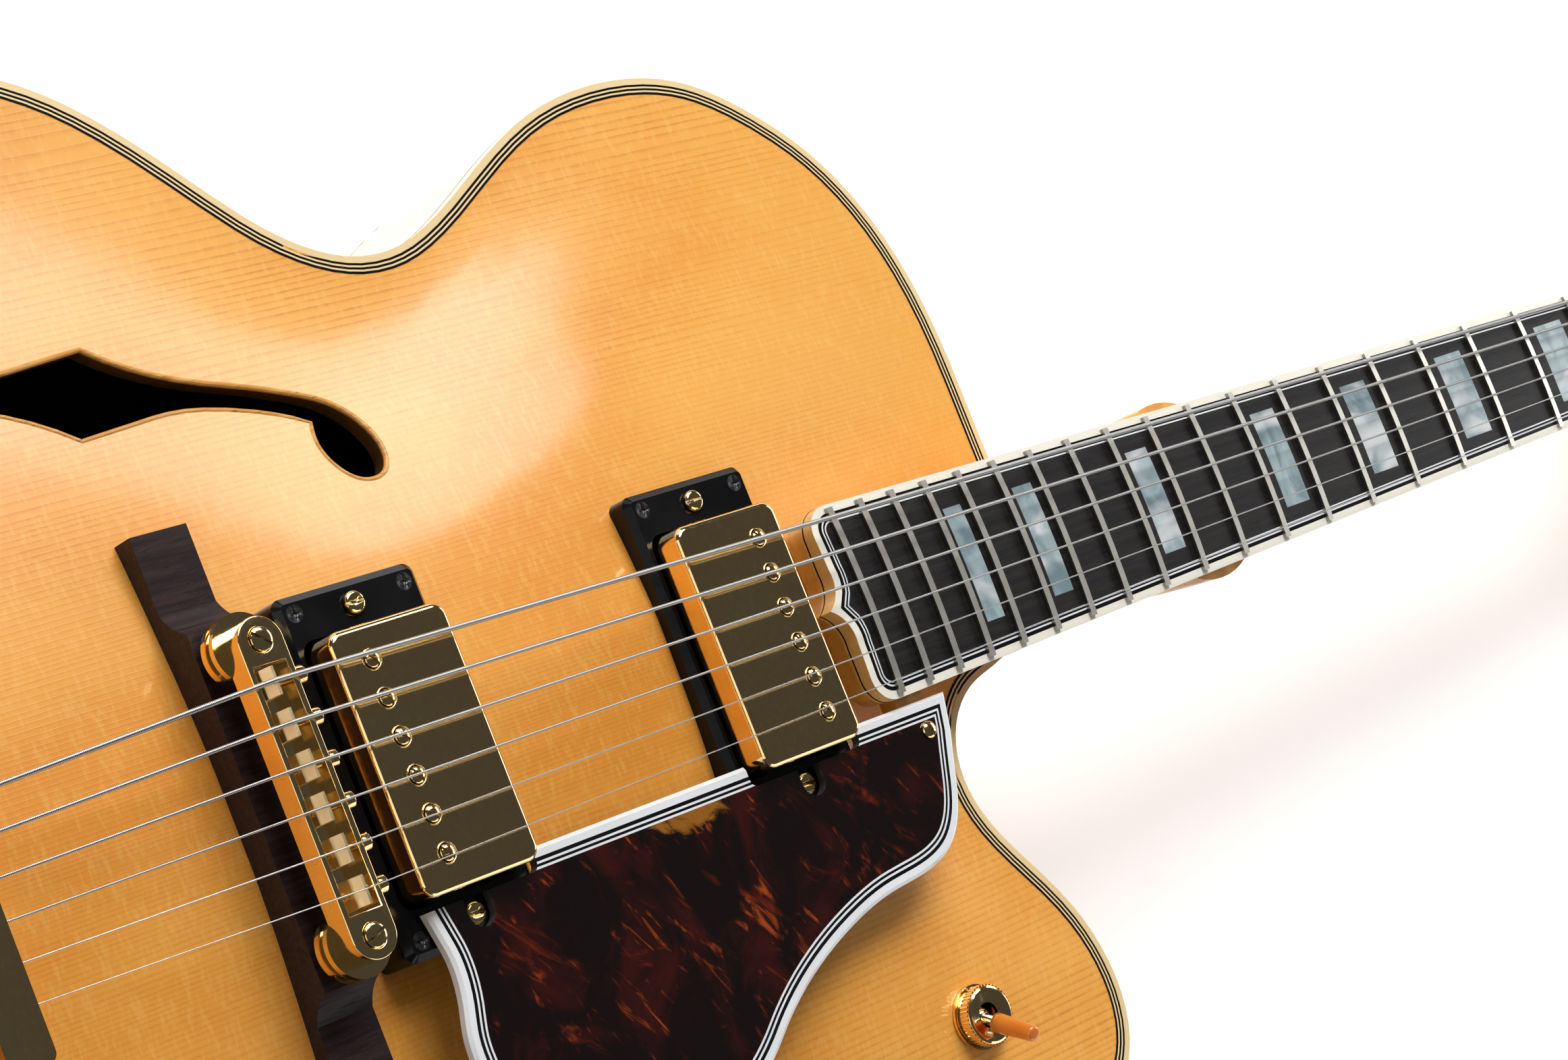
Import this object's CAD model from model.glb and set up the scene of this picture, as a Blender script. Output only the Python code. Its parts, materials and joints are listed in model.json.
import bmesh
import bpy
import json
import math
from mathutils import Matrix, Quaternion, Vector
from mathutils.bvhtree import BVHTree

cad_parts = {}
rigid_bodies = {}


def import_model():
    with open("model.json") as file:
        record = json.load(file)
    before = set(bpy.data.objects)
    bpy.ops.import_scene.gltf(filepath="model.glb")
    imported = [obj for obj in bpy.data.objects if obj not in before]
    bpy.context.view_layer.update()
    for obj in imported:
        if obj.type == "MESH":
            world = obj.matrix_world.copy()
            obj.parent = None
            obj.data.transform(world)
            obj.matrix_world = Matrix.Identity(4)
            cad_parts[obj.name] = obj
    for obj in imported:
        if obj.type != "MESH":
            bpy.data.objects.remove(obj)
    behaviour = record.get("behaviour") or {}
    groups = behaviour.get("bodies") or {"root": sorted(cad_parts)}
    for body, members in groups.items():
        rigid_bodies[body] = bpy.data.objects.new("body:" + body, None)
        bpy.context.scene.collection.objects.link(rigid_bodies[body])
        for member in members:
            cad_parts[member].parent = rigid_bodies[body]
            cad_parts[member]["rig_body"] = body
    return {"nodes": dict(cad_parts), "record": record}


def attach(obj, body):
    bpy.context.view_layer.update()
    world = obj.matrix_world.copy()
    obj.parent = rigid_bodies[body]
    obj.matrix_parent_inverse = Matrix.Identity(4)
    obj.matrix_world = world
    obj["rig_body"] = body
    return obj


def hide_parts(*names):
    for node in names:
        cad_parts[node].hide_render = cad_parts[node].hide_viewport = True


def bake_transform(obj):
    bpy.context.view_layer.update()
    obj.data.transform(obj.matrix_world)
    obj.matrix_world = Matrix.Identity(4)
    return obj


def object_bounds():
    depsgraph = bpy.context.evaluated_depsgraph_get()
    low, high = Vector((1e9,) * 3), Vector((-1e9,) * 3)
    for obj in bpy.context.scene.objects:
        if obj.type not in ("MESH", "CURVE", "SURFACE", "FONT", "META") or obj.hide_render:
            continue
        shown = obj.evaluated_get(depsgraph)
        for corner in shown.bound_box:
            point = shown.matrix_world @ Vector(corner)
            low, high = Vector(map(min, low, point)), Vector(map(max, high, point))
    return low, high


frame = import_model()
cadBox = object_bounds()
nodes = frame["nodes"]
nodeBody = {name: obj["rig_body"] for name, obj in nodes.items()}
nodeSlot = {row["node"]: row["material_slot"] for row in frame["record"]["subparts"]}
saddleNames = [f"saddle_{i}" for i in range(1, 7)]
print("frame loaded,", len(nodes), "nodes")


class Strand:
    def __init__(self, tree, socket=None):
        self.tree = tree
        self.socket = socket

    def node(self, kind, settings=None, sockets=None, out=0):
        made = self.tree.nodes.new("ShaderNode" + kind)
        for key, value in (settings or {}).items():
            setattr(made, key, value)
        for key, value in (sockets or {}).items():
            if isinstance(value, Strand):
                self.tree.links.new(value.socket, made.inputs[key])
            else:
                made.inputs[key].default_value = value
        return Strand(self.tree, made.outputs[out])

    def math(self, operation, first, second=0.0):
        return self.node("Math", {"operation": operation}, {0: first, 1: second})

    def __add__(self, other):
        return self.math("ADD", self, other)

    def __sub__(self, other):
        return self.math("SUBTRACT", self, other)

    def __rsub__(self, other):
        return self.math("SUBTRACT", other, self)

    def __mul__(self, other):
        return self.math("MULTIPLY", self, other)

    def __truediv__(self, other):
        return self.math("DIVIDE", self, other)

    def __rtruediv__(self, other):
        return self.math("DIVIDE", other, self)

    def __pow__(self, other):
        return self.math("POWER", self, other)

    __radd__ = __add__
    __rmul__ = __mul__

    def part(self):  # what is left after the whole number
        return self.math("FRACT", self)

    def between(self, low, high):
        return self.node("MapRange", {"interpolation_type": "SMOOTHSTEP"},
                         {"Value": self, "From Min": low, "From Max": high})


def rgba(colour):
    return (*colour, 1.0)


def startFinish(name):
    material = bpy.data.materials.new(name)
    material.use_nodes = True
    material.node_tree.nodes.clear()
    return material, Strand(material.node_tree)


def endFinish(strand, colour, rough, bump=None, bumpDepth=0.0, **fixed):
    sockets = {"Base Color": colour, "Roughness": rough}
    if bump is not None:
        sockets["Normal"] = strand.node("Bump", None, {"Height": bump, "Distance": bumpDepth, "Strength": 1.0})
    for key, value in fixed.items():
        sockets[key.replace("_", " ")] = value
    shader = strand.node("BsdfPrincipled", None, sockets, "BSDF")
    output = strand.tree.nodes.new("ShaderNodeOutputMaterial")
    strand.tree.links.new(shader.socket, output.inputs["Surface"])


def tint(strand, factor, first, second):
    first = first if isinstance(first, Strand) else rgba(first)
    second = second if isinstance(second, Strand) else rgba(second)
    return strand.node("Mix", {"data_type": "RGBA", "blend_type": "MIX"}, {0: factor, 6: first, 7: second}, 2)


def place(strand, scale=(1, 1, 1), turn=0.0):
    own = strand.node("TexCoord", None, None, "Object")
    return strand.node("Mapping", None, {"Vector": own, "Rotation": (0, 0, turn), "Scale": scale})


def noise(strand, where, detail=3.0, rough=0.55, warp=0.0):  # where is a place, or the scale of one
    where = where if isinstance(where, Strand) else place(strand, where)
    return strand.node("TexNoise", None, {"Vector": where, "Scale": 1.0, "Detail": detail, "Roughness": rough,
                                          "Distortion": warp})


def vector(strand, operation, first, second=(0, 0, 0), out="Vector"):
    return strand.node("VectorMath", {"operation": operation}, {0: first, 1: second}, out)


def axisOf(strand, where, axis):
    return strand.node("SeparateXYZ", None, {0: where}, axis)


def upward(strand):  # how far a surface faces up
    return axisOf(strand, strand.node("NewGeometry", None, None, "Normal"), "Z")


spruceLook = {"pale": (0.95, 0.45, 0.085), "deep": (0.86, 0.33, 0.042), "line": (0.56, 0.15, 0.02),
              "shine": (1.0, 0.62, 0.18), "bare": (0.030, 0.012, 0.006), "finePitch": 0.0011, "widening": 0.0080,
              "wander": (2.2, 7.0, 2.0), "wanderBy": 4.0, "pitch": (0.3, 45.0, 1.0), "pitchBy": 5.0,
              "rise": (0.45, 0.93), "fall": (0.95, 1.0), "fleck": (120.0, 900.0, 40.0), "flecked": (0.3, 0.75),
              "silk": (800.0, 190.0, 60.0), "silkWarp": 0.3, "silken": (0.45, 0.75), "silkShare": 0.26,
              "cloud": (9.0, 16.0, 9.0), "clouded": (0.3, 0.72), "faint": (5.0, 30.0, 5.0), "fainter": (0.3, 0.7),
              "outer": (0.03, 0.16), "lacquered": (-0.1, 0.35), "rough": 0.3, "roughBy": 0.06, "coat": 0.9,
              "coatRough": 0.11, "relief": 0.00003}


def spruceFinish():
    look = spruceLook
    material, s = startFinish("spruce_amber")
    aside = s.math("ABSOLUTE", axisOf(s, place(s), "Y"))
    wander = noise(s, look["wander"], 2.0)
    pitch = noise(s, look["pitch"], 2.0)
    spread = aside * (look["widening"] / look["finePitch"]) + 1.0
    count = s.math("LOGARITHM", spread, math.e) / look["widening"]  # rings grow wider toward the edges
    rings = (count + wander * look["wanderBy"] + pitch * look["pitchBy"]).part()
    line = rings.between(*look["rise"]) * (1 - rings.between(*look["fall"]))
    fleck = noise(s, look["fleck"], 2.0).between(*look["flecked"])
    silk = noise(s, look["silk"], 2.0, warp=look["silkWarp"])
    faint = noise(s, look["faint"], 2.0).between(*look["fainter"])
    outer = aside.between(*look["outer"])
    strength = (0.2 + 0.36 * fleck) * (0.35 + 0.65 * faint) * (0.55 + 0.6 * outer)
    shown = tint(s, noise(s, look["cloud"]).between(*look["clouded"]), look["pale"], look["deep"])
    shown = tint(s, line * strength, shown, look["line"])
    shown = tint(s, silk.between(*look["silken"]) * look["silkShare"], shown, look["shine"])
    bare = 1 - upward(s).between(*look["lacquered"])
    shown = tint(s, bare, shown, look["bare"])
    endFinish(s, shown, look["rough"] + look["roughBy"] * silk, line * 0.4 + silk * 0.3, look["relief"],
              Coat_Weight=look["coat"] - look["coat"] * bare, Coat_Roughness=look["coatRough"], Coat_IOR=1.5,
              Specular_IOR_Level=0.4)
    return material


mapleLook = {"pale": (0.87, 0.44, 0.10), "deep": (0.66, 0.27, 0.045), "bare": (0.030, 0.012, 0.007),
             "vein": (0.55, 0.19, 0.03), "dot": (0.3, 0.09, 0.015), "seam": (0.16, 0.05, 0.012), "seamHalf": 0.0004,
             "lean": 0.3, "curlRough": 0.5, "curlWarp": 0.3, "curled": (0.34, 0.66), "fine": (26.0, 420.0, 420.0),
             "veined": (0.45, 0.8), "veinShare": 0.35, "pore": (90.0, 1500.0, 1500.0), "dotted": (0.62, 0.75),
             "dotShare": 0.3, "bareSoft": 0.3, "rough": 0.28, "roughBy": 0.06, "coat": 0.9, "coatRough": 0.08,
             "relief": 0.00002}


def mapleFinish(name, curlScale, bareAbove=2.0, matched=False):  # the back's upper side is the bare inside of the box
    look = mapleLook
    material, s = startFinish(name)
    where = place(s)
    if matched:  # two mirrored halves with their curl at a slant
        aside = s.math("ABSOLUTE", axisOf(s, where, "Y"))
        along = axisOf(s, where, "X") + aside * look["lean"]
        where = s.node("CombineXYZ", None, {"X": along, "Y": aside})
    curl = noise(s, vector(s, "MULTIPLY", where, curlScale), 3.0, look["curlRough"], look["curlWarp"])
    fine = noise(s, look["fine"])
    pore = noise(s, look["pore"], 2.0)
    shown = tint(s, curl.between(*look["curled"]), look["pale"], look["deep"])
    shown = tint(s, fine.between(*look["veined"]) * look["veinShare"], shown, look["vein"])
    shown = tint(s, pore.between(*look["dotted"]) * look["dotShare"], shown, look["dot"])
    if matched:
        shown = tint(s, 1 - aside.between(0.0, look["seamHalf"]), shown, look["seam"])
    bare = upward(s).between(bareAbove, bareAbove + look["bareSoft"])
    shown = tint(s, bare, shown, look["bare"])
    endFinish(s, shown, look["rough"] + look["roughBy"] * fine, fine, look["relief"],
              Coat_Weight=look["coat"] - look["coat"] * bare, Coat_Roughness=look["coatRough"], Coat_IOR=1.5)
    return material


innerLook = {"dark": (0.50, 0.30, 0.14), "pale": (0.68, 0.46, 0.25), "grain": (18.0, 420.0, 420.0), "rough": 0.62,
             "roughBy": 0.1, "relief": 0.0001}


def innerWoodFinish():
    look = innerLook
    material, s = startFinish("bare_inner_wood")
    grain = noise(s, look["grain"], 4.0)
    shown = tint(s, grain, look["dark"], look["pale"])
    endFinish(s, shown, look["rough"] + look["roughBy"] * grain, grain, look["relief"])
    return material


darkLook = {"pore": (0.003, 0.002, 0.002), "grainScale": (30.0, 620.0, 620.0), "grainRough": 0.6,
            "grained": (0.3, 0.75), "poreScale": (110.0, 2600.0, 2600.0), "pored": (0.6, 0.72), "poreShare": 0.7,
            "roughBy": 0.12, "gloss": 0.2}


def darkWoodFinish(name, low, high, rough, relief):
    look = darkLook
    material, s = startFinish(name)
    grain = noise(s, look["grainScale"], 4.0, look["grainRough"])
    pores = noise(s, look["poreScale"], 2.0).between(*look["pored"])
    shown = tint(s, grain.between(*look["grained"]), low, high)
    shown = tint(s, pores * look["poreShare"], shown, look["pore"])
    endFinish(s, shown, rough + look["roughBy"] * grain, grain * 0.6 - pores * 0.8, relief,
              Specular_IOR_Level=look["gloss"])
    return material


ivoryLook = {"light": (0.92, 0.72, 0.40), "warm": (0.86, 0.62, 0.30), "boardLight": (0.93, 0.90, 0.80),
             "boardWarm": (0.90, 0.84, 0.69), "tan": (0.86, 0.50, 0.17), "tanSoft": 0.006, "level": (0.3, 0.8),
             "cloud": (30.0, 30.0, 30.0), "scuff": (600.0, 600.0, 600.0), "rough": 0.24, "roughBy": 0.1,
             "relief": 0.00001, "coat": 0.5, "coatRough": 0.12}


def ivoryFinish(name, light, warm, tanBefore=-9.0):  # its walls are tan up to the given x
    look = ivoryLook
    material, s = startFinish(name)
    scuff = noise(s, look["scuff"], 2.0)
    shown = tint(s, noise(s, look["cloud"]), light, warm)
    beyond = axisOf(s, place(s), "X").between(tanBefore, tanBefore + look["tanSoft"])
    tan = (1 - upward(s).between(*look["level"])) * (1 - beyond)
    shown = tint(s, tan, shown, look["tan"])
    endFinish(s, shown, look["rough"] + look["roughBy"] * scuff, scuff, look["relief"], Coat_Weight=look["coat"],
              Coat_Roughness=look["coatRough"])
    return material


plasticLook = {"cloud": (55.0, 55.0, 55.0), "clouded": (0.3, 0.7), "scuff": (900.0, 900.0, 900.0), "roughBy": 0.08,
               "relief": 0.00001, "coatRough": 0.08}


def plainPlastic(name, colour, other, rough, coat=0.0, gloss=0.5):
    look = plasticLook
    material, s = startFinish(name)
    scuff = noise(s, look["scuff"], 2.0)
    shown = tint(s, noise(s, look["cloud"]).between(*look["clouded"]), colour, other)
    endFinish(s, shown, rough + look["roughBy"] * scuff, scuff, look["relief"], Coat_Weight=coat,
              Coat_Roughness=look["coatRough"], Specular_IOR_Level=gloss)
    return material


tortoiseLook = {"ground": (0.005, 0.0012, 0.0012), "red": (0.040, 0.004, 0.002), "ember": (0.20, 0.020, 0.004),
                "flame": (0.36, 0.055, 0.007), "amber": (0.30, 0.115, 0.012), "amberSpot": (0.3610, -0.0375, 0.0704),
                "amberShape": (46.0, 105.0, 20.0), "amberEdge": (0.1, 1.0), "ambered": (0.42, 0.72),
                "cloud": (30.0, 24.0, 24.0), "reddened": (0.46, 0.72), "streak": (34.0, 120.0, 60.0),
                "streakTurn": 0.8, "streaked": (0.56, 0.74), "emberCloud": (0.42, 0.6),
                "fleck": (75.0, 270.0, 120.0), "fleckTurn": 1.1, "flecked": (0.57, 0.72), "flameCloud": (0.46, 0.62),
                "ragged": (110.0, 230.0, 60.0), "raggedTurn": 0.5, "rough": 0.05, "roughBy": 0.04, "coatRough": 0.03}


def tortoiseFinish():
    look = tortoiseLook
    material, s = startFinish("tortoiseshell")

    def slanted(key, detail, rough, warp):  # turned before it is scaled, so that streaks lie at a slant
        askew = place(s, turn=look[key + "Turn"])
        return noise(s, vector(s, "MULTIPLY", askew, look[key]), detail, rough, warp)
    cloud = noise(s, look["cloud"], 4.0, 0.6, 1.6)
    streak = slanted("streak", 4.0, 0.62, 1.0)
    fleck = slanted("fleck", 3.0, 0.6, 0.8)
    ragged = slanted("ragged", 5.0, 0.65, 0.8)
    aside = vector(s, "SUBTRACT", place(s), look["amberSpot"])
    away = vector(s, "LENGTH", vector(s, "MULTIPLY", aside, look["amberShape"]), out="Value")
    near = 1 - away.between(*look["amberEdge"])
    warm = near * 0.7 + ragged * 1.4 - 0.6
    embers = streak.between(*look["streaked"]) * cloud.between(*look["emberCloud"])
    flames = fleck.between(*look["flecked"]) * (cloud.between(*look["flameCloud"]) + near)
    shown = tint(s, cloud.between(*look["reddened"]), look["ground"], look["red"])
    shown = tint(s, embers, shown, look["ember"])
    shown = tint(s, flames, shown, look["flame"])
    shown = tint(s, warm.between(*look["ambered"]), shown, look["amber"])
    endFinish(s, shown, look["rough"] + look["roughBy"] * fleck, Coat_Weight=1.0, Coat_Roughness=look["coatRough"])
    return material


pearlLook = {"dark": (0.19, 0.28, 0.31), "pale": (0.44, 0.54, 0.56), "white": (0.80, 0.80, 0.80),
             "swirl": (70.0, 40.0, 40.0), "swirled": (0.3, 0.7), "veil": (38.0, 46.0, 46.0), "veiled": (0.5, 0.68),
             "veilShare": 0.8, "rough": 0.16, "roughBy": 0.12, "relief": 0.00002, "coat": 0.7, "coatRough": 0.06,
             "gloss": 0.7}


def pearlFinish():
    look = pearlLook
    material, s = startFinish("pearl_shell")
    swirl = noise(s, look["swirl"], 3.0, 0.5, 1.6)
    veil = noise(s, look["veil"], 2.0, 0.5, 1.0)
    shown = tint(s, swirl.between(*look["swirled"]), look["dark"], look["pale"])
    shown = tint(s, veil.between(*look["veiled"]) * look["veilShare"], shown, look["white"])
    endFinish(s, shown, look["rough"] + look["roughBy"] * swirl, swirl, look["relief"], Coat_Weight=look["coat"],
              Coat_Roughness=look["coatRough"], Specular_IOR_Level=look["gloss"])
    return material


metalLook = {"scuff": (900.0, 500.0, 700.0), "scuffed": (0.35, 0.8), "relief": 0.000002}


def metalFinish(name, bright, deep, rough, scale=40.0, wear=0.9):
    look = metalLook
    material, s = startFinish(name)
    scuff = noise(s, look["scuff"])
    shown = tint(s, noise(s, (scale, scale, scale)), bright, deep)
    endFinish(s, shown, rough + rough * wear * scuff.between(*look["scuffed"]), scuff, look["relief"], Metallic=1.0)
    return material


fretLook = {"side": (0.34, 0.32, 0.28), "crown": (0.92, 0.89, 0.80), "crowned": (0.7, 0.98),
            "scuff": (300.0, 300.0, 300.0), "rough": 0.28, "roughBy": 0.06}


def fretFinish():  # polished on the crown, darker down the sides
    look = fretLook
    material, s = startFinish("fret_wire")
    shown = tint(s, upward(s).between(*look["crowned"]), look["side"], look["crown"])
    endFinish(s, shown, look["rough"] + look["roughBy"] * noise(s, look["scuff"]), Metallic=1.0)
    return material


amberLook = {"light": (0.80, 0.26, 0.03), "deep": (0.62, 0.15, 0.012), "cloud": (120.0, 120.0, 120.0),
             "rough": 0.12, "roughBy": 0.1, "coat": 0.8, "coatRough": 0.05, "glow": 0.15}


def amberFinish():
    look = amberLook
    material, s = startFinish("amber_plastic")
    cloud = noise(s, look["cloud"])
    shown = tint(s, cloud, look["light"], look["deep"])
    endFinish(s, shown, look["rough"] + look["roughBy"] * cloud, Coat_Weight=look["coat"],
              Coat_Roughness=look["coatRough"], Subsurface_Weight=look["glow"])
    return material


woundLook = {"valley": (0.26, 0.255, 0.25), "ridge": (0.54, 0.53, 0.51), "pitch": 0.00042, "rough": 0.3,
             "roughBy": 0.08, "relief": 0.00004}


def woundFinish():
    look = woundLook
    material, s = startFinish("wound_string")
    turns = (axisOf(s, place(s), "X") / look["pitch"]).part()
    ridge = 1 - (turns * 2 - 1) ** 2
    shown = tint(s, ridge, look["valley"], look["ridge"])
    endFinish(s, shown, look["rough"] + look["roughBy"] * ridge, ridge, look["relief"], Metallic=1.0)
    return material


finishes = {
    "spruce": spruceFinish(),
    "maple": mapleFinish("maple_flamed", (120.0, 12.0, 14.0)),
    "maple_rims": mapleFinish("maple_rims", (150.0, 150.0, 9.0)),
    "maple_back": mapleFinish("maple_back", (140.0, 9.0, 1.0), 0.3, True),
    "inner_wood": innerWoodFinish(),
    "ebony": darkWoodFinish("ebony_oiled", (0.006, 0.005, 0.005), (0.018, 0.015, 0.014), 0.4, 0.00004),
    "rosewood": darkWoodFinish("rosewood_oiled", (0.016, 0.009, 0.010), (0.042, 0.023, 0.022), 0.38, 0.00006),
    "ivory_plastic": ivoryFinish("ivory_plastic", ivoryLook["light"], ivoryLook["warm"]),
    "board_ivory": ivoryFinish("board_ivory", ivoryLook["boardLight"], ivoryLook["boardWarm"], 0.443),
    "black_plastic": plainPlastic("black_plastic", (0.005, 0.005, 0.006), (0.009, 0.009, 0.010), 0.12, 0.0, 0.2),
    "tortoiseshell": tortoiseFinish(),
    "pearl": pearlFinish(),
    "bone": plainPlastic("bone", (0.78, 0.70, 0.55), (0.70, 0.60, 0.44), 0.35),
    "gold_plate": metalFinish("gold_plate", (1.0, 0.77, 0.40), (0.94, 0.66, 0.30), 0.08),
    "fret_wire": fretFinish(),
    "string_steel": metalFinish("string_steel", (0.56, 0.55, 0.53), (0.48, 0.47, 0.45), 0.32),
    "steel": metalFinish("plain_steel", (0.58, 0.57, 0.55), (0.5, 0.49, 0.47), 0.3),
    "coil_black": plainPlastic("coil_black", (0.012, 0.011, 0.011), (0.02, 0.018, 0.018), 0.45),
    "amber_plastic": amberFinish(),
    "white_ply": plainPlastic("white_ply", (0.86, 0.87, 0.88), (0.80, 0.81, 0.83), 0.22, 0.6),
    "guard_core": plainPlastic("guard_core", (0.03, 0.028, 0.028), (0.06, 0.055, 0.055), 0.3),
    "wound_string": woundFinish(),
    "satin_gold": metalFinish("satin_gold", (1.0, 0.82, 0.50), (0.96, 0.74, 0.40), 0.34, 60.0, 0.3),
    "black_steel": metalFinish("black_steel", (0.075, 0.075, 0.08), (0.05, 0.05, 0.055), 0.3),
    "lip_wood": darkWoodFinish("lip_wood", (0.62, 0.27, 0.06), (0.80, 0.42, 0.12), 0.22, 0.00001),
}
ownFinish = {"back_plate": "maple_back", "rims": "maple_rims", "fingerboard_binding": "board_ivory",
             **{name: "satin_gold" for name in saddleNames}}
for name, obj in nodes.items():
    obj.data.materials[0] = finishes[ownFinish.get(name, nodeSlot[name])]
print("finishes made,", len(finishes))


neckPlace = Matrix.Translation((0.530, 0.0, 0.063)) @ Matrix.Rotation(math.radians(3.8), 4, "Y")
headPlace = neckPlace @ Matrix.Translation((0.36385, 0.0, -0.006)) @ Matrix.Rotation(math.radians(14.0), 4, "Y")
partPlace = Matrix.Identity(4)
meshRules = {"merge": 1e-6, "spinMerge": 1e-7, "sharp": math.radians(35.0)}


def everything(bm):
    return bm.verts[:] + bm.edges[:] + bm.faces[:]


def vertsIn(items):
    return [item for item in items if isinstance(item, bmesh.types.BMVert)]


def coords(group):
    return [vert.co for vert in group]


def span(points, axis):
    values = [point[axis] for point in points]
    return max(values) - min(values)


def mergedCopy(node, local=partPlace):
    bm = bmesh.new()
    bm.from_mesh(nodes[node].data)
    bmesh.ops.remove_doubles(bm, verts=bm.verts, dist=meshRules["merge"])
    bmesh.ops.transform(bm, matrix=local.inverted(), verts=bm.verts)
    bm.normal_update()
    return bm


def linked(name, data):
    made = bpy.data.objects.new(name, data)
    bpy.context.scene.collection.objects.link(made)
    return made


def addPiece(name, bm, looks, body, instead=(), local=partPlace):
    bmesh.ops.transform(bm, matrix=local, verts=bm.verts)
    mesh = bpy.data.meshes.new(name)
    bm.to_mesh(mesh)
    bm.free()
    for look in looks:
        mesh.materials.append(finishes[look])
    mesh.shade_smooth()
    mesh.set_sharp_from_angle(angle=meshRules["sharp"])
    piece = linked(name, mesh)
    if body:
        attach(piece, body)
    if instead:
        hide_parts(*instead)
    return piece


def addGold(name, bm, body, instead=(), local=neckPlace):
    return addPiece(name, bm, ["gold_plate"], body, instead, local)


def cutAway(bm, at, outward, parts=None, closed=False):  # drops what lies beyond a plane
    cut = bmesh.ops.bisect_plane(bm, geom=parts or everything(bm), plane_co=at, plane_no=outward,
                                 clear_outer=True)["geom_cut"]
    if closed:
        bmesh.ops.holes_fill(bm, edges=[item for item in cut if isinstance(item, bmesh.types.BMEdge)])


def topLoops(node, local=partPlace, flat=0.95, steep=0.9):  # where an upper face meets a wall, as closed runs
    bm = mergedCopy(node, local)
    rim = {edge for edge in bm.edges if len(edge.link_faces) == 2
           and max(face.normal.z for face in edge.link_faces) > flat
           and min(face.normal.z for face in edge.link_faces) < steep}
    loops = []
    while rim:
        edge = max(rim, key=lambda item: item.calc_length())
        rim.remove(edge)
        run = list(edge.verts)
        while True:
            step = next((item for item in run[-1].link_edges if item in rim), None)
            if step is None:
                break
            rim.remove(step)
            run.append(step.other_vert(run[-1]))
        loops.append([vert.co.copy() for vert in run[:-1]])
    bm.free()
    return sorted(loops, key=len, reverse=True)


def loopFace(points, height):
    bm = bmesh.new()
    face = bm.faces.new([bm.verts.new((point.x, point.y, height)) for point in points])
    face.normal_update()
    if face.normal.z < 0:
        face.normal_flip()
    return bm, face


def inset(bm, face, width, depth=0.0):
    return bmesh.ops.inset_region(bm, faces=[face], thickness=width, depth=depth, use_even_offset=True,
                                  use_boundary=True)["faces"]


def insetLines(bm, face, lines):  # each line is a width and a place in the list of looks
    for width, look in lines:
        for strip in inset(bm, face, width):
            strip.material_index = look


def lineBand(points, height, lines):
    bm, face = loopFace(points, height)
    insetLines(bm, face, lines)
    bmesh.ops.delete(bm, geom=[face], context="FACES")
    return bm


def thicken(bm, depth):  # turns a flat sheet into a closed one
    grown = bmesh.ops.extrude_face_region(bm, geom=bm.faces[:])["geom"]
    bmesh.ops.translate(bm, vec=(0, 0, depth), verts=vertsIn(grown))
    bmesh.ops.recalc_face_normals(bm, faces=bm.faces)


def sideBand(loop, high, width, proud):  # a thin closed band round the outside of a wall
    bm = bmesh.new()
    corners = [bm.verts.new((point.x, point.y, high)) for point in loop]
    edges = [bm.edges.new((first, second)) for first, second in zip(corners, corners[1:] + corners[:1])]
    wall = bmesh.ops.extrude_edge_only(bm, edges=edges)["geom"]
    bmesh.ops.translate(bm, vec=(0, 0, -width), verts=vertsIn(wall))
    bmesh.ops.recalc_face_normals(bm, faces=bm.faces)
    middle = sum(coords(bm.verts), Vector()) / len(bm.verts)
    if sum(strip.normal.dot(strip.calc_center_median() - middle) for strip in bm.faces) < 0:
        bmesh.ops.reverse_faces(bm, faces=bm.faces)
    for vert in bm.verts:
        vert.co += vert.normal * proud
    bmesh.ops.solidify(bm, geom=bm.faces[:], thickness=2 * proud)
    return bm


bodyTrim = {"lines": [(0.00068, 0), (0.00052, 1), (0.00068, 0), (0.00052, 1), (0.00068, 0)], "backLines": 3,
            "lift": 0.00012, "depth": 0.0003, "neckHalf": 0.0215, "neckFrom": 0.45, "rim": 0.043, "castFrom": 0.2,
            "castReach": 0.003, "sideAt": 0.037, "sideLine": 0.0007, "sideProud": 0.00006}


def clearNeck(bm):  # drops the strips that the neck covers
    middles = {strip: strip.calc_center_median() for strip in bm.faces}
    hidden = [strip for strip, middle in middles.items()
              if middle.x > bodyTrim["neckFrom"] and abs(middle.y) < bodyTrim["neckHalf"]]
    bmesh.ops.delete(bm, geom=hidden, context="FACES")


def makeBodyTrim():
    look = bodyTrim
    outer, inner = sorted(topLoops("back_binding"), key=lambda loop: -max(point.x for point in loop))[:2]
    for name, plate, sign in (("top_lines", "top_plate", 1), ("back_lines", "back_plate", -1)):
        bm = lineBand(inner, 0.0, look["lines"] if sign > 0 else look["lines"][:look["backLines"]])
        if sign > 0:
            clearNeck(bm)
        mesh = nodes[plate].data
        ground = BVHTree.FromPolygons(coords(mesh.vertices), [tuple(side.vertices) for side in mesh.polygons])
        rim = look["rim"] * sign
        for vert in bm.verts:
            above = Vector((vert.co.x, vert.co.y, look["castFrom"] * sign))
            hit = ground.ray_cast(above, Vector((0, 0, -sign)))[0]
            vert.co.z = (hit.z if hit and abs(hit.z - rim) < look["castReach"] else rim) + look["lift"] * sign
        thicken(bm, -look["depth"] * sign)
        addPiece(name, bm, ["black_plastic", "ivory_plastic"], "body")
    for name, high in (("top_side_line", look["sideAt"]), ("back_side_line", -look["sideAt"] + look["sideLine"])):
        bm = sideBand(outer, high, look["sideLine"], look["sideProud"])
        clearNeck(bm)
        addPiece(name, bm, ["black_plastic"], "body")


lipLook = {"round": 0.0008, "arc": 3, "under": 0.00055, "length": (0.1, 0.2), "aside": 0.06, "flat": 0.7,
           "steep": 0.3}


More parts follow.
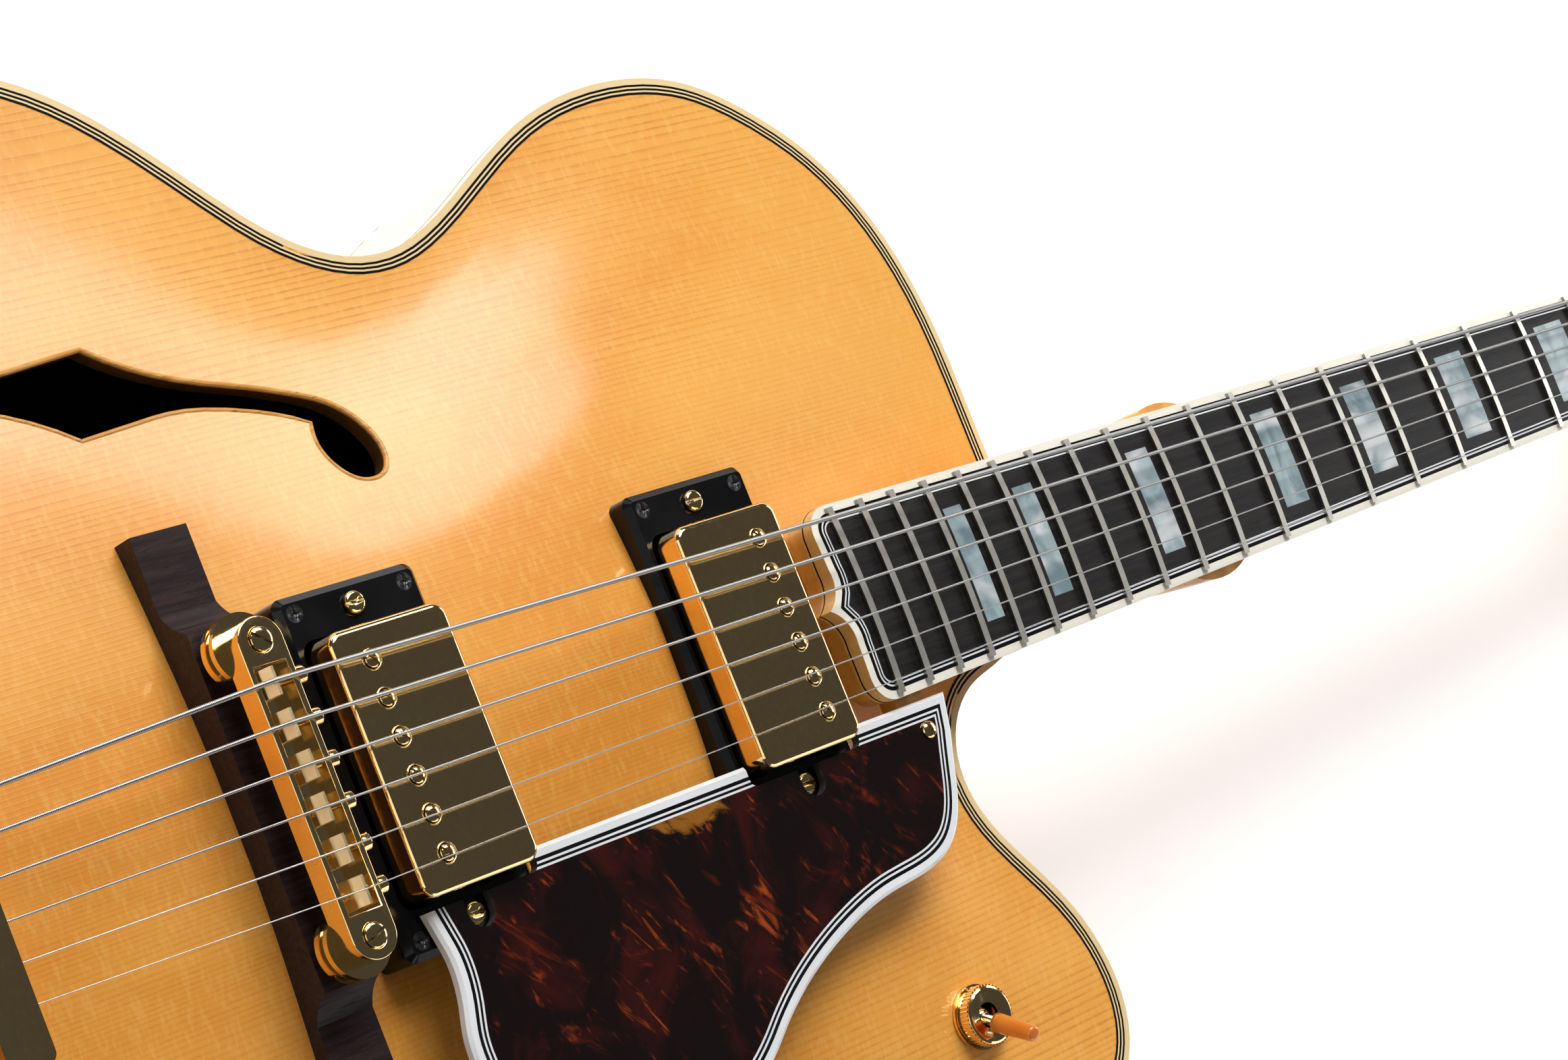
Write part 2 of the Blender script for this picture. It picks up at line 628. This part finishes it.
def makeHoleLips():  # the rounded, lacquered edges of the sound holes
    look = lipLook
    bm = bmesh.new()
    shortest, longest = look["length"]
    for loop in topLoops("top_plate", flat=look["flat"], steep=look["steep"]):
        middle = sum(point.y for point in loop) / len(loop)
        if not shortest < span(loop, 0) < longest or abs(middle) < look["aside"]:
            continue
        curve = bpy.data.curves.new("lip", "CURVE")
        curve.dimensions = "3D"
        curve.bevel_depth = look["round"]
        curve.bevel_resolution = look["arc"]
        run = curve.splines.new("POLY")
        run.points.add(len(loop) - 1)
        run.use_cyclic_u = True
        for corner, point in zip(run.points, loop):
            corner.co = (point.x, point.y, point.z - look["under"], 1.0)
        holder = bpy.data.objects.new("lip", curve)
        mesh = bpy.data.meshes.new_from_object(holder)
        bm.from_mesh(mesh)
        bpy.data.objects.remove(holder)
        bpy.data.curves.remove(curve)
        bpy.data.meshes.remove(mesh)
    addPiece("sound_hole_lips", bm, ["lip_wood"], "body")


boardTrim = {"lines": [(0.0011, 0), (0.0005, 1), (0.0006, 0), (0.00045, 1)], "radius": 0.305, "nut": 0.3593,
             "nutSlack": 0.001, "past": 0.006, "lift": 0.00004, "depth": 0.0004, "cuspFrom": -0.0905,
             "cuspTip": 0.0001, "cuspReach": 0.0032, "sideTop": -0.0046, "sideLine": 0.0005, "sideProud": 0.00006,
             "sideTo": -0.030}


def makeBoardTrim():
    look = boardTrim
    edge = []
    for point in topLoops("fingerboard", neckPlace)[0]:
        if point.x > look["nut"] - look["nutSlack"]:
            point.x += look["past"]
        if point.x > look["cuspFrom"] or not look["cuspTip"] < abs(point.y) < look["cuspReach"]:
            edge.append(point)
    bm = lineBand(edge, 0.0, look["lines"])
    cutAway(bm, (look["nut"], 0, 0), (1, 0, 0))
    thicken(bm, -look["depth"])
    for vert in bm.verts:  # the board is arched across
        sag = look["radius"] - math.sqrt(look["radius"] ** 2 - vert.co.y ** 2)
        vert.co.z += look["lift"] - sag
    addPiece("board_lines", bm, ["black_plastic", "white_ply"], "body", local=neckPlace)
    outer = max(topLoops("fingerboard_binding", neckPlace), key=lambda loop: max(point.y for point in loop))
    bm = sideBand(outer, look["sideTop"], look["sideLine"], look["sideProud"])
    cutAway(bm, (look["sideTo"], 0, 0), (1, 0, 0))
    addPiece("board_side_line", bm, ["black_plastic"], "body", local=neckPlace)


headTrim = {"lines": [(0.0021, 0), (0.0005, 1), (0.0005, 0), (0.0005, 1)], "lift": 0.00005, "depth": 0.0004,
            "drop": 0.0016, "proud": 0.00006, "nut": 0.0022}


def makeHeadTrim():
    look = headTrim
    loop = topLoops("headstock_veneer", headPlace)[0]
    top = max(point.z for point in loop)
    bm = lineBand(loop, top + look["lift"], look["lines"])
    cutAway(bm, (look["nut"], 0, 0), (-1, 0, 0))
    thicken(bm, -look["depth"])
    addPiece("head_lines", bm, ["ivory_plastic", "black_plastic"], "body", local=headPlace)
    bm = sideBand(loop, top, look["drop"], look["proud"])
    addPiece("head_side_band", bm, ["ivory_plastic"], "body", local=headPlace)


def carved(bm, tools):  # takes the shapes of the tools out of bm
    held = []
    for shape in [bm] + tools:
        mesh = bpy.data.meshes.new("carving")
        shape.to_mesh(mesh)
        shape.free()
        held.append(linked("carving", mesh))
    for tool in held[1:]:
        cut = held[0].modifiers.new("cut", "BOOLEAN")
        cut.operation = "DIFFERENCE"
        cut.solver = "MANIFOLD"
        cut.object = tool
    bpy.context.view_layer.update()
    mesh = bpy.data.meshes.new_from_object(held[0].evaluated_get(bpy.context.evaluated_depsgraph_get()))
    made = bmesh.new()
    made.from_mesh(mesh)
    bpy.data.meshes.remove(mesh)
    for piece in held:
        old = piece.data
        bpy.data.objects.remove(piece)
        bpy.data.meshes.remove(old)
    return made


def block(low, high, look=0):
    bm = bmesh.new()
    size = Vector(high) - Vector(low)
    middle = (Vector(high) + Vector(low)) / 2
    bmesh.ops.create_cube(bm, size=1.0, matrix=Matrix.Translation(middle) @ Matrix.Diagonal((*size, 1.0)))
    paint(bm.verts, look)
    return bm


def rod(radius, at, low, high, look=0, segments=48):
    bm = bmesh.new()
    bmesh.ops.create_cone(bm, cap_ends=True, segments=segments, radius1=radius, radius2=radius, depth=high - low,
                          matrix=Matrix.Translation((at[0], at[1], (low + high) / 2)))
    paint(bm.verts, look)
    return bm


def paint(group, look):
    for vert in group:
        for side in vert.link_faces:
            side.material_index = look


guardLook = {"top": -0.0038, "thick": 0.0028, "edge": 0.0028, "bevelShare": 0.35, "drop": 0.0007,
             "lines": [(0.0010, 1), (0.0006, 0), (0.0007, 1), (0.0006, 0)], "pickups": (-0.1246, -0.2430),
             "notchHalf": 0.0212, "notchSlack": 0.0001, "notchFloor": -0.0460, "notchEnd": -0.0371,
             "notchRound": 0.002, "roundSteps": 6, "slot": 0.0042, "slotAt": -0.0412, "slotOver": 0.002,
             "screwAt": (-0.0774, -0.0397), "screwHole": 0.0015, "through": 0.02, "tip": (-0.2602, -0.0312),
             "tailEnd": (-0.2, -0.25), "corner": (-0.0658, -0.0312), "cornerReach": (0.0001, 0.0095)}


def guardRim():  # the guard's edge, its notches closed and its corners sharp
    look = guardLook
    nearest, farthest = look["cornerReach"]
    rim = []
    for point in topLoops("pickguard", neckPlace)[0]:
        inNotch = any(abs(point.x - middle) < look["notchHalf"] + look["notchSlack"] for middle in look["pickups"])
        nearCorner = nearest < (point - Vector((*look["corner"], point.z))).length < farthest
        if not (inNotch and point.y > look["notchFloor"]) and not nearCorner:
            rim.append(point)
    this, last = look["tailEnd"]
    gaps = [(rim[i] - rim[i - 1]).length if rim[i].x < this or rim[i - 1].x < last else 0 for i in range(len(rim))]
    rim.insert(gaps.index(max(gaps)), Vector((*look["tip"], 0.0)))
    return rim


def makeGuard():
    look = guardLook
    looks = ["white_ply", "black_plastic", "tortoiseshell", "guard_core"]
    core = looks.index("guard_core")
    bm, _ = loopFace(guardRim(), look["top"] - look["thick"])
    thicken(bm, look["thick"] - look["drop"])
    upper = max(bm.faces, key=lambda side: side.calc_center_median().z)
    under = min(bm.faces, key=lambda side: side.calc_center_median().z)
    inset(bm, upper, look["edge"] * look["bevelShare"], look["drop"])
    inset(bm, upper, look["edge"] * (1 - look["bevelShare"]))
    insetLines(bm, upper, look["lines"])
    upper.material_index = looks.index("tortoiseshell")
    under.material_index = looks.index("black_plastic")
    half, end, slot, through = (look[key] for key in ("notchHalf", "notchEnd", "slot", "through"))
    tools = []
    for middle in look["pickups"]:
        notch = block((middle - half, end, -through), (middle + half, 0.0, through), core)
        corners = [edge for edge in notch.edges if abs(edge.verts[0].co.z - edge.verts[1].co.z) > through
                   and edge.verts[0].co.y < end / 2]
        bmesh.ops.bevel(notch, geom=corners, offset=look["notchRound"], segments=look["roundSteps"], profile=0.5,
                        affect="EDGES", material=-1)
        tools.append(notch)
        tools.append(rod(slot, (middle, look["slotAt"]), -through, through, core))
        tools.append(block((middle - slot, look["slotAt"], -through),
                           (middle + slot, end + look["slotOver"], through), core))
    tools.append(rod(look["screwHole"], look["screwAt"], -through, through, core))
    addPiece("pickguard_bound", carved(bm, tools), looks, "body", ["pickguard"], neckPlace)


def islands(bm):
    left = set(bm.verts)
    groups = []
    while left:
        stack = [left.pop()]
        group = []
        while stack:
            vert = stack.pop()
            group.append(vert)
            for edge in vert.link_edges:
                other = edge.other_vert(vert)
                if other in left:
                    left.remove(other)
                    stack.append(other)
        groups.append(group)
    return groups


def partsOf(group):
    return list({item for vert in group for item in (vert, *vert.link_edges, *vert.link_faces)})


def scatter(bm, spots):  # copies a shape to every spot
    first = everything(bm)
    for where in spots[1:]:
        copy = bmesh.ops.duplicate(bm, geom=first)["geom"]
        bmesh.ops.transform(bm, matrix=where, verts=vertsIn(copy))
    bmesh.ops.transform(bm, matrix=spots[0], verts=vertsIn(first))
    return bm


def turned(profile, steps=40):  # spins a line of radius and height round Z
    bm = bmesh.new()
    run = [bm.verts.new((radius, 0, height)) for radius, height in profile]
    edges = [bm.edges.new(pair) for pair in zip(run, run[1:])]
    bmesh.ops.spin(bm, geom=run + edges, cent=(0, 0, 0), axis=(0, 0, 1), angle=2 * math.pi, steps=steps,
                   use_merge=True)
    bmesh.ops.remove_doubles(bm, verts=bm.verts, dist=meshRules["spinMerge"])
    bmesh.ops.recalc_face_normals(bm, faces=bm.faces)
    return bm


def slottedDome(look):
    radius, wall, crown, slot = (look[key] for key in ("radius", "wall", "crown", "slot"))
    arc = [(radius * math.sin(math.radians(turn)), wall + crown * math.cos(math.radians(turn)))
           for turn in range(0, 91, 10)]
    head = turned(arc + [(radius, 0.0), (0.0, 0.0)])
    return carved(head, [block((-slot / 2, -2 * radius, wall), (slot / 2, 2 * radius, wall + 2 * crown))])


def spin(degrees, axis="Z"):
    return Matrix.Rotation(math.radians(degrees), 4, axis)


def spot(x, y, z, heading):
    return Matrix.Translation((x, y, z)) @ spin(heading)


poleLook = {"radius": 0.00220, "wall": 0.0012, "crown": 0.0008, "slot": 0.0007, "below": 0.001, "widest": 0.006,
            "rows": (0.02525, 0.01515, 0.00505, -0.00505, -0.01515, -0.02525),
            "headings": (38, 24, 52, 33, 60, 41), "collar": 0.00268, "collarRound": 0.00022,
            "neck": (-0.1160, 0.0022), "bridge": (-0.2516, 0.0032)}


def makePoles():
    look = poleLook
    for pickup in ("neck", "bridge"):
        middle, top = look[pickup]
        node = pickup + "_pickup_coils"
        bm = mergedCopy(node, neckPlace)
        for group in islands(bm):
            if span(coords(group), 0) < look["widest"]:
                cutAway(bm, (0, 0, top - look["below"]), (0, 0, 1), partsOf(group), True)
        addPiece(pickup + "_coils", bm, ["coil_black"], nodeBody[node], [node], neckPlace)
        spots = [spot(middle, y, top, turn) for y, turn in zip(look["rows"], look["headings"])]
        heads = slottedDome(look)
        bmesh.ops.translate(heads, vec=(0, 0, -look["below"]), verts=heads.verts)
        addGold(pickup + "_pole_heads", scatter(heads, spots), nodeBody[node])
        ring = [(look["collar"] + look["collarRound"] * math.cos(math.radians(turn)),
                 look["collarRound"] * math.sin(math.radians(turn))) for turn in range(0, 361, 30)]
        addGold(pickup + "_pole_collars", scatter(turned(ring), spots), nodeBody[node])


bridgeLook = {"soft": 0.0006, "softSteps": 3, "level": 0.01, "corner": 0.9, "topSlack": 0.0001,
              "screw": {"radius": 0.0025, "wall": 0.0021, "crown": 0.0010, "slot": 0.0008},
              "screwX": -0.2750, "screwZ": 0.0033, "screwTurn": 20, "screwTurnStep": 50,
              "rows": (0.0268, 0.01608, 0.00536, -0.00536, -0.01608, -0.0268),
              "post": {"radius": 0.0031, "wall": 0.0004, "crown": 0.0006, "slot": 0.0009},
              "posts": ((-0.2814, 0.0376, 0.0054, 50), (-0.2814, -0.0376, 0.0054, 110))}


def makeBridgeDetail():
    look = bridgeLook
    bar = mergedCopy("bridge_bar", neckPlace)
    bmesh.ops.dissolve_limit(bar, angle_limit=look["level"], verts=bar.verts, edges=bar.edges)
    top = max(vert.co.z for vert in bar.verts)
    sharp = [edge for edge in bar.edges if len(edge.link_faces) == 2 and edge.calc_face_angle() > look["corner"]
             and all(vert.co.z > top - look["topSlack"] for vert in edge.verts)]
    bmesh.ops.bevel(bar, geom=sharp, offset=look["soft"], segments=look["softSteps"], profile=0.5, affect="EDGES",
                    material=-1, clamp_overlap=True)
    addGold("bridge_bar_soft", bar, nodeBody["bridge_bar"], ["bridge_bar"])
    heads = slottedDome(look["screw"])
    bmesh.ops.transform(heads, matrix=spin(90, "Y"), verts=heads.verts)
    spots = [Matrix.Translation((look["screwX"], y, look["screwZ"]))
             @ spin(look["screwTurn"] + look["screwTurnStep"] * i, "X") for i, y in enumerate(look["rows"])]
    addGold("bridge_screw_heads", scatter(heads, spots), "bridge")
    tops = scatter(slottedDome(look["post"]), [spot(*post) for post in look["posts"]])
    addGold("bridge_post_tops", tops, nodeBody["bridge_posts"])


screwLook = {"at": (-0.0774, -0.0397, -0.0036, 25), "radius": 0.0025, "wall": 0.0002, "crown": 0.0011,
             "slot": 0.0006, "cutAt": -0.0045, "screwMost": 0.008, "blockSpan": (0.012, 0.020)}


def makeGuardScrew():
    look = screwLook
    least, most = look["blockSpan"]
    bm = mergedCopy("pickguard_bracket", neckPlace)
    for group in islands(bm):
        width = span(coords(group), 1)
        paint(group, 1 if least < width < most else 0)  # the block under the guard is maple
        if width < look["screwMost"]:
            cutAway(bm, (0, 0, look["cutAt"]), (0, 0, 1), partsOf(group), True)
    addPiece("guard_bracket", bm, ["gold_plate", "maple"], "body", ["pickguard_bracket"], neckPlace)
    addGold("guard_screw_head", scatter(slottedDome(look), [spot(*look["at"])]), "body")


repaintLook = {"heightScrewLeast": 0.0055, "leverBelow": -0.01, "coverScrewMost": 0.006}


def repaint(node, name, looks, pick):  # a copy of a node whose loose parts differ in finish
    bm = mergedCopy(node, neckPlace)
    for group in islands(bm):
        paint(group, 1 if pick(coords(group)) else 0)
    addPiece(name, bm, looks, nodeBody[node], [node], neckPlace)


def makeRepaints():
    look = repaintLook
    repaint("pickup_screws", "pickup_screws_two", ["black_steel", "gold_plate"],
            lambda points: span(points, 0) > look["heightScrewLeast"])
    repaint("toggle_lever", "toggle_lever_tipped", ["amber_plastic", "gold_plate"],
            lambda points: max(point.z for point in points) < look["leverBelow"])
    repaint("truss_rod_cover", "truss_cover_screwed", ["black_plastic", "gold_plate"],
            lambda points: span(points, 0) < look["coverScrewMost"])


def joined(shapes):  # one shape made of several
    whole = bmesh.new()
    for shape in shapes:
        mesh = bpy.data.meshes.new("joining")
        shape.to_mesh(mesh)
        shape.free()
        whole.from_mesh(mesh)
        bpy.data.meshes.remove(mesh)
    return whole


def upright(middle, normal, lift):  # a frame with Z along the normal, moved along it
    turn = Vector((0, 0, 1)).rotation_difference(normal).to_matrix().to_4x4()
    return Matrix.Translation(middle) @ turn @ Matrix.Translation((0, 0, lift))


def turnsRound(count):
    return [Matrix.Rotation(2 * math.pi * i / count, 4, "Z") for i in range(count)]


dishLook = {"profile": [(0.0036, 0.00405), (0.0045, 0.0042), (0.0064, 0.0049), (0.0075, 0.0051), (0.0081, 0.0048),
                        (0.0083, 0.0043), (0.0083, 0.0013), (0.0070, 0.00122)],
            "steps": 72, "ridges": 44, "ridge": 0.00034, "ridgeAt": 0.00832, "ridgeFrom": 0.0016, "ridgeTo": 0.0045,
            "ridgeSides": 8, "sink": 0.00075}


def makeToggleDish():
    look = dishLook
    bm = mergedCopy("toggle_switch")
    washer = max(islands(bm), key=lambda group: span(coords(group), 0))
    upper = max({side for vert in washer for side in vert.link_faces}, key=lambda side: side.calc_area())
    normal = upper.normal.copy()
    middle = sum(coords(washer), Vector()) / len(washer)
    bm.free()
    if normal.z < 0:
        normal.negate()
    ridge = rod(look["ridge"], (look["ridgeAt"], 0.0), look["ridgeFrom"], look["ridgeTo"], 0, look["ridgeSides"])
    dish = joined([turned(look["profile"], look["steps"]), scatter(ridge, turnsRound(look["ridges"]))])
    addGold("toggle_dish", dish, nodeBody["toggle_switch"], local=upright(middle, normal, -look["sink"]))


knobLook = {"cap": [(0.0, 0.01845), (0.0064, 0.01845), (0.0070, 0.01875), (0.0076, 0.01875), (0.0081, 0.0184),
                    (0.0081, 0.0180), (0.0, 0.0180)],
            "height": 0.0182, "crownSlack": 0.0002, "pointerLow": (0.0012, -0.0003, 0.0184),
            "pointerHigh": (0.0062, 0.0003, 0.01855), "ticks": 11, "tickFrom": -150.0, "tickTo": 150.0,
            "tickLow": (-0.0009, -0.00035, -0.00055), "tickHigh": (0.0009, 0.00035, 0.00012), "tickAt": 0.0115,
            "tickZ": 0.00445, "tickLean": 42.0, "ribs": 30, "rib": 0.00035, "ribSides": 8, "ribLow": 0.0062,
            "ribHigh": 0.0172, "ribFoot": 0.01029, "ribHead": 0.00946}


def standOn(node):  # the frame at the foot of a knob, from the flat face at its top
    bm = mergedCopy(node)
    flat = max(bm.faces, key=lambda side: (round(side.normal.z, 3), side.calc_center_median().z)).normal.copy()
    high = max(vert.co.dot(flat) for vert in bm.verts)
    crown = [vert.co for vert in bm.verts if vert.co.dot(flat) > high - knobLook["crownSlack"]]
    middle = sum(crown, Vector()) / len(crown)
    bm.free()
    return upright(middle, flat, -knobLook["height"])


def makeKnobDetail():
    look = knobLook
    low, high, foot, head = (look[key] for key in ("ribLow", "ribHigh", "ribFoot", "ribHead"))
    lean = Matrix.Rotation(-math.atan2(foot - head, high - low), 4, "Y")
    against = Matrix.Translation(((foot + head) / 2, 0, (low + high) / 2)) @ lean
    lay = Matrix.Translation((look["tickAt"], 0, look["tickZ"])) @ spin(look["tickLean"], "Y")
    step = (look["tickTo"] - look["tickFrom"]) / (look["ticks"] - 1)
    for node in ("neck_volume_knob", "neck_tone_knob", "bridge_volume_knob", "bridge_tone_knob"):
        stand = standOn(node)
        body = nodeBody[node]
        cap = joined([turned(look["cap"]), block(look["pointerLow"], look["pointerHigh"], 1)])
        addPiece(node + "_cap", cap, ["gold_plate", "coil_black"], body, local=stand)
        rib = rod(look["rib"], (0.0, 0.0), (low - high) / 2, (high - low) / 2, 0, look["ribSides"])
        ribs = scatter(rib, [turn @ against for turn in turnsRound(look["ribs"])])
        addPiece(node + "_ribs", ribs, ["amber_plastic"], body, local=stand)
        mark = block(look["tickLow"], look["tickHigh"])
        marks = scatter(mark, [spin(look["tickFrom"] + step * i) @ lay for i in range(look["ticks"])])
        addPiece(node + "_marks", marks, ["white_ply"], body, local=stand)


stringLook = {"nut": 0.889, "front": 0.2620, "reach": 0.0012, "rear": 0.2360, "tail": 0.170, "wound": 4}


def stringRun(high, low, only=None):  # the strings, or one of them, between two places along the neck
    bm = mergedCopy("strings")
    groups = sorted(islands(bm), key=lambda group: -sum(vert.co.y for vert in group) / len(group))
    for i, group in enumerate(groups):
        paint(group, 0 if i < stringLook["wound"] else 1)
    if only is not None:
        others = [vert for i, group in enumerate(groups) if i != only for vert in group]
        bmesh.ops.delete(bm, geom=others, context="VERTS")
    for at, outward in ((high, 1), (low, -1)):
        if at is not None:
            cutAway(bm, (at, 0, 0), (outward, 0, 0), closed=True)
    return bm


def addString(name, bm, instead=()):
    piece = addPiece(name, bm, ["wound_string", "string_steel"], None, instead)
    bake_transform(piece)


def makeStrings():  # every string bends at its own saddle
    look = stringLook
    front, rear, reach = look["front"], look["rear"], look["reach"]
    addString("strings_front", stringRun(None, front), ["strings"])
    addString("strings_rear", stringRun(rear, None))
    places = {name: coords(nodes[name].data.vertices) for name in saddleNames}
    for i, name in enumerate(sorted(saddleNames, key=lambda name: -sum(point.y for point in places[name]))):
        along = [point.x for point in places[name]]
        crest = (min(along) + max(along)) / 2
        addString(f"string_{i + 1}_before", stringRun(front, crest, i))
        addString(f"string_{i + 1}_behind", stringRun(crest, rear, i))


makeBodyTrim()
makeHoleLips()
makeBoardTrim()
makeHeadTrim()
makeGuard()
makePoles()
makeBridgeDetail()
makeGuardScrew()
makeRepaints()
makeToggleDish()
makeKnobDetail()
makeStrings()
print("trim, guard and strings made")


floorLook = {"drop": 0.0004, "span": 14.0, "middle": (0.4, 0.0), "glow": 0.45, "speck": (40.0, 40.0, 40.0),
             "dim": (0.90, 0.90, 0.90), "bright": (0.93, 0.93, 0.93), "white": (1.0, 1.0, 1.0), "rough": 0.8}


def makeFloor():
    look = floorLook
    at = (*look["middle"], cadBox[0].z - look["drop"])
    bm = bmesh.new()
    bmesh.ops.create_grid(bm, x_segments=2, y_segments=2, size=look["span"] / 2, matrix=Matrix.Translation(at))
    mesh = bpy.data.meshes.new("floor")
    bm.to_mesh(mesh)
    bm.free()
    material, s = startFinish("floor_paper")
    shown = tint(s, noise(s, look["speck"]), look["dim"], look["bright"])
    endFinish(s, shown, look["rough"], Emission_Color=rgba(look["white"]), Emission_Strength=look["glow"])
    mesh.materials.append(material)
    linked("floor", mesh)


lamps = {
    "key_box": {"at": (0.69, 1.72, 1.92), "aim": (0.35, 0.0, 0.0), "size": (1.5, 1.3), "power": 55.0},
    "top_box": {"at": (1.284, 1.170, 1.423), "aim": (0.30, 0.06, 0.06), "size": (0.90, 0.62), "power": 9.0,
                "roll": 38.0},
    "tail_box": {"at": (-1.75, 0.10, 0.95), "aim": (0.35, 0.0, 0.05), "size": (1.6, 1.9), "power": 10.0},
    "bass_box": {"at": (0.2, 2.3, 0.8), "aim": (0.4, 0.0, 0.0), "size": (1.8, 0.9), "power": 7.0},
    "treble_box": {"at": (1.3, -2.0, 0.6), "aim": (0.4, 0.0, 0.0), "size": (2.6, 1.1), "power": 13.0},
    "head_box": {"at": (2.7, 0.2, 0.7), "aim": (0.6, 0.0, 0.0), "size": (1.4, 0.7), "power": 12.0},
}


def makeLamps():
    for name, look in lamps.items():
        data = bpy.data.lights.new(name, "AREA")
        data.shape = "RECTANGLE"
        data.size, data.size_y = look["size"]
        data.energy = look["power"]
        lamp = linked(name, data)
        lamp.location = look["at"]
        toward = Vector(look["aim"]) - Vector(look["at"])
        roll = Quaternion((0, 0, 1), math.radians(look.get("roll", 0.0)))
        lamp.rotation_euler = (toward.to_track_quat("-Z", "Y") @ roll).to_euler()


cameraLook = {"lens": 79.69, "sensor": 36.0, "clip": (0.01, 60.0), "at": (-0.17840, -0.05014, 0.79788),
              "right": (0.73279, -0.37123, 0.57027), "back": (-0.63699, -0.0795, 0.76676)}


def makeCamera():
    look = cameraLook
    data = bpy.data.cameras.new("photo_view")
    data.lens = look["lens"]
    data.sensor_width = look["sensor"]
    data.clip_start, data.clip_end = look["clip"]
    right = Vector(look["right"]).normalized()
    back = Vector(look["back"]).normalized()
    turn = Matrix((right, back.cross(right), back)).transposed().to_4x4()
    camera = linked("photo_view", data)
    camera.matrix_world = Matrix.Translation(look["at"]) @ turn
    bpy.context.scene.camera = camera


worldLook = {"colour": (1.0, 1.0, 1.0), "strength": 0.06}


def makeWorld():
    world = bpy.data.worlds.new("studio")
    world.use_nodes = True
    light = world.node_tree.nodes["Background"].inputs
    light["Color"].default_value = rgba(worldLook["colour"])
    light["Strength"].default_value = worldLook["strength"]
    bpy.context.scene.world = world


makeFloor()
makeLamps()
makeCamera()
makeWorld()
bpy.context.scene.view_settings.view_transform = "Standard"
print("studio set")

bpy.context.view_layer.update()
